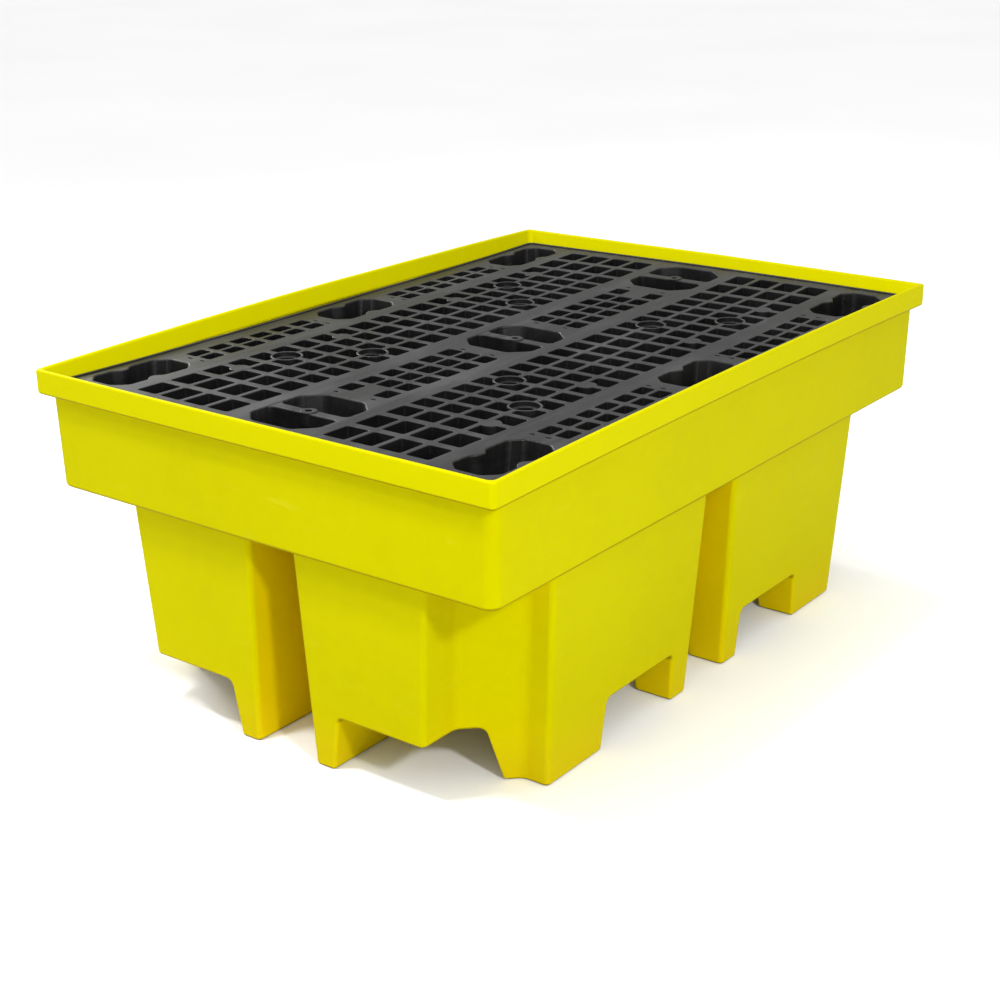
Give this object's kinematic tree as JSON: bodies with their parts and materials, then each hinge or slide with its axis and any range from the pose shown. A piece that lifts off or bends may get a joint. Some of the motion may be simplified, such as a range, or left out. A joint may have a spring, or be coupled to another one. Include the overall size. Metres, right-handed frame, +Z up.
{
  "type": "spill containment pallet",
  "caption": "Spill containment pallet: one-piece moulded sump tub with hollow feet and fork tunnels on every side, holding a lift-out grid deck pallet on hollow legs.",
  "frame": {"origin": "middle of the footprint, on the floor", "axes": "+X along the long side, +Y along the short side, +Z up"},
  "size_m": [1.3, 0.885, 0.55],
  "materials": {
    "yellow_polyethylene": "rotomoulded polyethylene, soft satin",
    "black_polypropylene": "moulded polypropylene, satin, scuffed on top"
  },
  "bodies": {
    "tub": {"sump_tub": "yellow_polyethylene"},
    "deck": {"deck_pallet": "black_polypropylene"}
  },
  "joints": [
    {"name": "deck_lift", "type": "slide", "parent": "tub", "child": "deck", "axis": [0, 0, 1], "range_m": [0, 0.25]}
  ]
}
